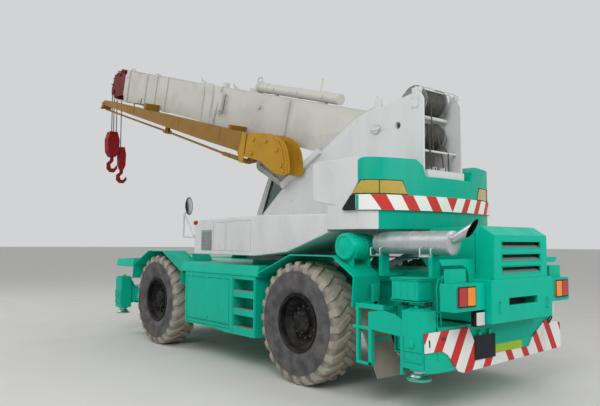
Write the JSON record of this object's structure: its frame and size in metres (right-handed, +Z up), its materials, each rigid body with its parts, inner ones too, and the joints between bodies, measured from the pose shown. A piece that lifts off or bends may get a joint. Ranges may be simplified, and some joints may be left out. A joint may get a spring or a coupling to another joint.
{
  "type": "rough-terrain mobile crane",
  "caption": "Two-axle mobile crane with a slewing cab and telescopic boom, side jib, hooks and sliding outriggers with jacks, for lifting loads on site",
  "frame": {"origin": "on the ground under the middle of the whole crane's box", "axes": "+X forward, along the parked boom, +Y to the left, +Z up"},
  "size_m": [11.0396, 2.662, 5.8558],
  "materials": {
    "tyre": "worn tread rubber, dusty",
    "rim_paint": "black paint, worn",
    "cast_steel": "rough casting under dark paint",
    "carrier_green": "glossy green enamel",
    "house_white": "glossy white enamel, weathered",
    "boom_white": "white enamel, weathered",
    "jib_yellow": "ochre enamel",
    "signal_red": "dark red enamel",
    "muffler_metal": "aluminised sheet",
    "chrome_rod": "hard chrome",
    "winch_steel": "greased steel and rope",
    "board_white": "white paint with red stripes",
    "flap_rubber": "grey rubber sheet, dusty",
    "pane": "safety glass",
    "seat_trim": "dark woven cover"
  },
  "bodies": {
    "carrier": {"chassis": "carrier_green", "axles": "cast_steel", "deck": "carrier_green", "fenders": "carrier_green", "side_boxes": "carrier_green", "engine_hood": "carrier_green", "engine": "cast_steel", "muffler": "muffler_metal", "air_cleaner": "carrier_green", "lamp_boxes": "carrier_green", "mud_flaps": "flap_rubber", "warning_board": "board_white"},
    "knuckle_rear_left": {"knuckle_rear_left": "cast_steel"},
    "wheel_rear_left": {"tyre_rear_left": "tyre", "rim_rear_left": "rim_paint"},
    "knuckle_rear_right": {"knuckle_rear_right": "cast_steel"},
    "wheel_rear_right": {"tyre_rear_right": "tyre", "rim_rear_right": "rim_paint"},
    "knuckle_front_left": {"knuckle_front_left": "cast_steel"},
    "wheel_front_left": {"tyre_front_left": "tyre", "rim_front_left": "rim_paint"},
    "knuckle_front_right": {"knuckle_front_right": "cast_steel"},
    "wheel_front_right": {"tyre_front_right": "tyre", "rim_front_right": "rim_paint"},
    "outrigger_rear_left": {"outrigger_beam_rear_left": "carrier_green"},
    "jack_rear_left": {"jack_rear_left": "chrome_rod"},
    "outrigger_rear_right": {"outrigger_beam_rear_right": "carrier_green"},
    "jack_rear_right": {"jack_rear_right": "chrome_rod"},
    "outrigger_front_left": {"outrigger_beam_front_left": "carrier_green"},
    "jack_front_left": {"jack_front_left": "chrome_rod"},
    "outrigger_front_right": {"outrigger_beam_front_right": "carrier_green"},
    "jack_front_right": {"jack_front_right": "chrome_rod"},
    "superstructure": {"turntable": "house_white", "counterweight": "carrier_green", "front_housing": "house_white", "right_housing": "house_white", "rear_housings": "house_white", "winches": "winch_steel", "cab_shell": "house_white", "cab_glass": "pane", "cab_seat": "seat_trim"},
    "door": {"cab_door": "house_white"},
    "boom": {"boom_base": "boom_white", "top_tube": "house_white", "jib": "jib_yellow"},
    "boom_section_2": {"boom_section_2": "boom_white"},
    "boom_section_3": {"boom_section_3": "boom_white"},
    "boom_section_4": {"boom_section_4": "boom_white", "boom_head": "signal_red"},
    "hooks": {"hooks": "signal_red"},
    "luff_barrel": {"luff_barrel": "house_white"},
    "luff_rod": {"luff_rod": "chrome_rod"}
  },
  "joints": [
    {"name": "steer_rear_left", "type": "hinge", "parent": "carrier", "child": "knuckle_rear_left", "pos_m": [-3.25, 0.985, 0.735], "axis": [0, 0, 1], "range_deg": [-28, 28]},
    {"name": "roll_rear_left", "type": "hinge", "parent": "knuckle_rear_left", "child": "wheel_rear_left", "pos_m": [-3.25, 1.095, 0.735], "axis": [0, 1, 0], "continuous": true},
    {"name": "steer_rear_right", "type": "hinge", "parent": "carrier", "child": "knuckle_rear_right", "pos_m": [-3.25, -0.985, 0.735], "axis": [0, 0, 1], "range_deg": [-28, 28]},
    {"name": "roll_rear_right", "type": "hinge", "parent": "knuckle_rear_right", "child": "wheel_rear_right", "pos_m": [-3.25, -1.095, 0.735], "axis": [0, 1, 0], "continuous": true},
    {"name": "steer_front_left", "type": "hinge", "parent": "carrier", "child": "knuckle_front_left", "pos_m": [0.45, 0.985, 0.735], "axis": [0, 0, 1], "range_deg": [-28, 28]},
    {"name": "roll_front_left", "type": "hinge", "parent": "knuckle_front_left", "child": "wheel_front_left", "pos_m": [0.45, 1.095, 0.735], "axis": [0, 1, 0], "continuous": true},
    {"name": "steer_front_right", "type": "hinge", "parent": "carrier", "child": "knuckle_front_right", "pos_m": [0.45, -0.985, 0.735], "axis": [0, 0, 1], "range_deg": [-28, 28]},
    {"name": "roll_front_right", "type": "hinge", "parent": "knuckle_front_right", "child": "wheel_front_right", "pos_m": [0.45, -1.095, 0.735], "axis": [0, 1, 0], "continuous": true},
    {"name": "outrigger_slide_rear_left", "type": "slide", "parent": "carrier", "child": "outrigger_rear_left", "axis": [0, 1, 0], "range_m": [0, 1.8]},
    {"name": "jack_slide_rear_left", "type": "slide", "parent": "outrigger_rear_left", "child": "jack_rear_left", "axis": [0, 0, -1], "range_m": [0, 0.5]},
    {"name": "outrigger_slide_rear_right", "type": "slide", "parent": "carrier", "child": "outrigger_rear_right", "axis": [0, -1, 0], "range_m": [0, 1.8]},
    {"name": "jack_slide_rear_right", "type": "slide", "parent": "outrigger_rear_right", "child": "jack_rear_right", "axis": [0, 0, -1], "range_m": [0, 0.5]},
    {"name": "outrigger_slide_front_left", "type": "slide", "parent": "carrier", "child": "outrigger_front_left", "axis": [0, 1, 0], "range_m": [0, 1.8]},
    {"name": "jack_slide_front_left", "type": "slide", "parent": "outrigger_front_left", "child": "jack_front_left", "axis": [0, 0, -1], "range_m": [0, 0.5]},
    {"name": "outrigger_slide_front_right", "type": "slide", "parent": "carrier", "child": "outrigger_front_right", "axis": [0, -1, 0], "range_m": [0, 1.8]},
    {"name": "jack_slide_front_right", "type": "slide", "parent": "outrigger_front_right", "child": "jack_front_right", "axis": [0, 0, -1], "range_m": [0, 0.5]},
    {"name": "slew", "type": "hinge", "parent": "carrier", "child": "superstructure", "pos_m": [-1.62, 0, 1.44], "axis": [0, 0, 1], "continuous": true},
    {"name": "door_slide", "type": "slide", "parent": "superstructure", "child": "door", "axis": [-1, 0, 0], "range_m": [0, 0.78]},
    {"name": "luff", "type": "hinge", "parent": "superstructure", "child": "boom", "pos_m": [-3.73, 0, 3.13], "axis": [0, -1, 0], "range_deg": [-17.15, 63.85]},
    {"name": "telescope_2", "type": "slide", "parent": "boom", "child": "boom_section_2", "axis": [0.9605, 0, 0.2782], "range_m": [0, 7]},
    {"name": "telescope_3", "type": "slide", "parent": "boom_section_2", "child": "boom_section_3", "axis": [0.9605, 0, 0.2782], "range_m": [0, 7]},
    {"name": "telescope_4", "type": "slide", "parent": "boom_section_3", "child": "boom_section_4", "axis": [0.9605, 0, 0.2782], "range_m": [0, 7]},
    {"name": "hook_hang", "type": "hinge", "parent": "boom_section_4", "child": "hooks", "pos_m": [5.20833, 0, 5.37481], "axis": [0, -1, 0], "range_deg": [-63.9, 17.2]},
    {"name": "barrel_turn", "type": "hinge", "parent": "superstructure", "child": "luff_barrel", "pos_m": [-2.8, 0, 1.95], "axis": [0, -1, 0], "range_deg": [-15.96, 58.88]},
    {"name": "rod_slide", "type": "slide", "parent": "luff_barrel", "child": "luff_rod", "axis": [0.8799, 0, 0.4751], "range_m": [-0.43, 1.589]}
  ],
  "couplings": [
    {"joint": "steer_rear_right", "follows": "steer_rear_left", "ratio": 1},
    {"joint": "steer_front_right", "follows": "steer_front_left", "ratio": 1},
    {"joint": "telescope_3", "follows": "telescope_2", "ratio": 1},
    {"joint": "telescope_4", "follows": "telescope_2", "ratio": 1},
    {"joint": "hook_hang", "follows": "luff", "ratio": -1},
    {"joint": "barrel_turn", "follows": "luff", "ratio": 0.919},
    {"joint": "rod_slide", "follows": "luff", "m_per_rad": 1.421}
  ]
}
